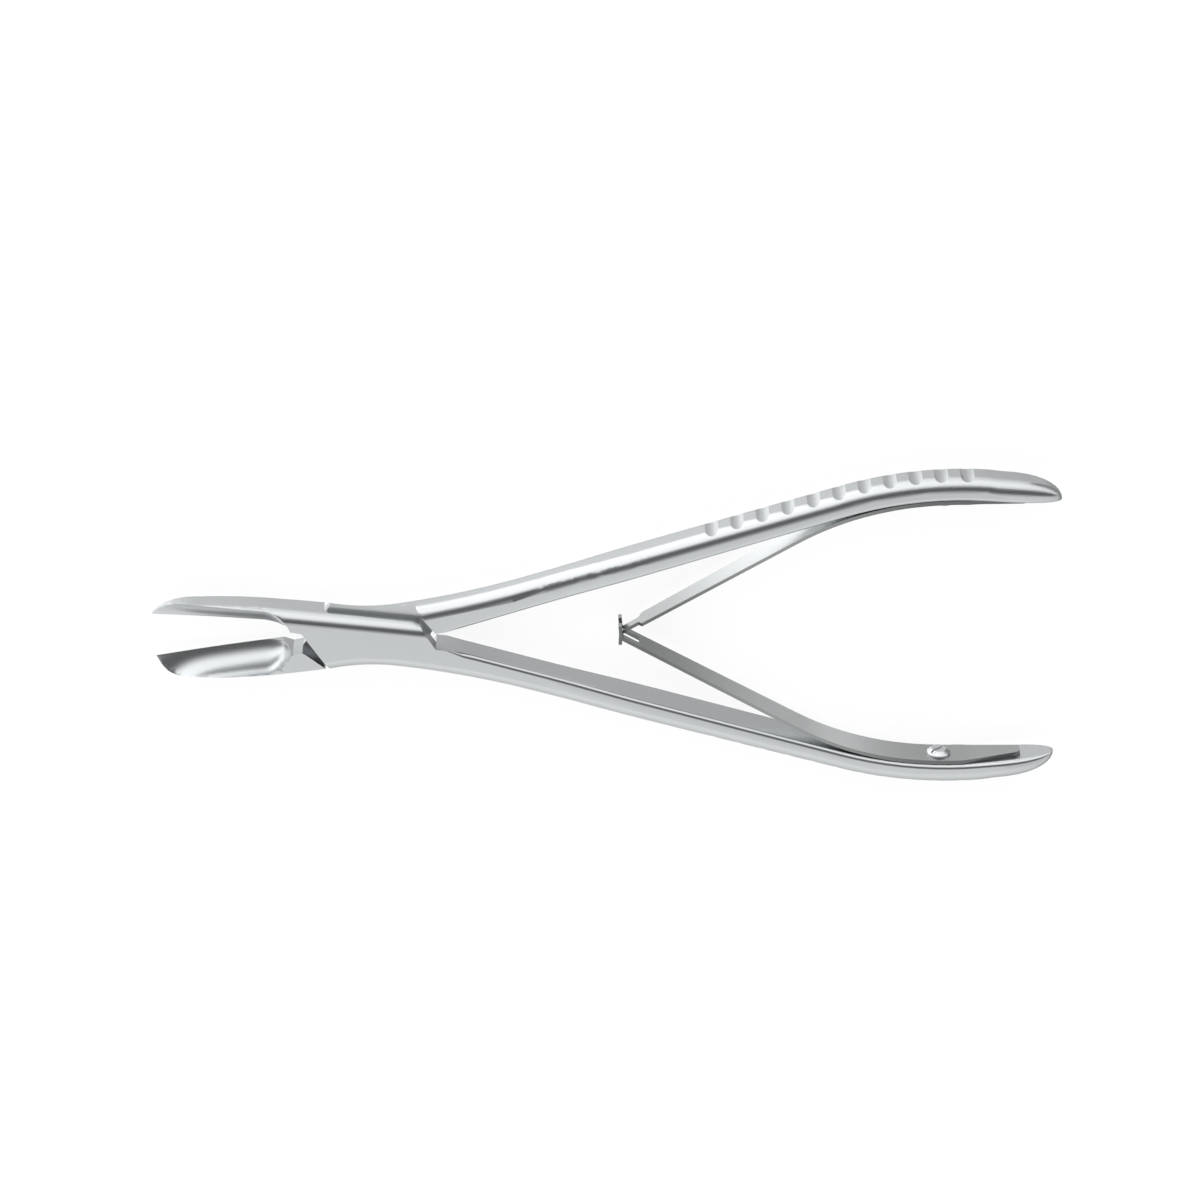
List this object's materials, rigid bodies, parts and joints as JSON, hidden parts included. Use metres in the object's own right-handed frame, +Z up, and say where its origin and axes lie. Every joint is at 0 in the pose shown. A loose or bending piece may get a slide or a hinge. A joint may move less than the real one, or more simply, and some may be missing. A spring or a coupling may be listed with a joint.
{
  "type": "bone cutting forceps",
  "caption": "Straight lap-joint bone cutting forceps with hollow-ground blades, scalloped handles and leaf springs.",
  "frame": {"origin": "middle of the bounding box, on the surface that the handles' side faces lie on", "axes": "+X from the blades to the handle ends, +Z up along the pivot axis, +Y towards the upper handle"},
  "size_m": [0.1696, 0.0644, 0.0073],
  "materials": {
    "body_steel": "satin",
    "spring_steel": "satin",
    "screw_steel": "satin"
  },
  "bodies": {
    "rear_member": {"rear_half": "body_steel", "upper_spring_screw": "screw_steel"},
    "front_member": {"front_half": "body_steel", "pivot_screw": "screw_steel", "lower_spring_screw": "screw_steel"},
    "lower_leaf": {"lower_leaf_spring": "spring_steel"},
    "upper_leaf": {"upper_leaf_spring": "spring_steel"}
  },
  "joints": [
    {"name": "jaw_pivot", "type": "hinge", "parent": "rear_member", "child": "front_member", "pos_m": [-0.04549, 0, 0.00365], "axis": [0, 0, 1], "range_deg": [0, 12.9], "stiffness_Nm_per_rad": 2.5, "springref_deg": -4.58},
    {"name": "lower_leaf_flex", "type": "hinge", "parent": "front_member", "child": "lower_leaf", "pos_m": [0.04833, -0.0247, 0.00365], "axis": [0, 0, 1], "range_deg": [0, 7], "deforming": ["lower_leaf_spring"]},
    {"name": "upper_leaf_flex", "type": "hinge", "parent": "rear_member", "child": "upper_leaf", "pos_m": [0.04833, 0.0247, 0.00365], "axis": [0, 0, 1], "range_deg": [-7, 0], "deforming": ["upper_leaf_spring"]}
  ],
  "couplings": [
    {"joint": "lower_leaf_flex", "follows": "jaw_pivot", "ratio": 0.496},
    {"joint": "upper_leaf_flex", "follows": "jaw_pivot", "ratio": -0.496}
  ]
}
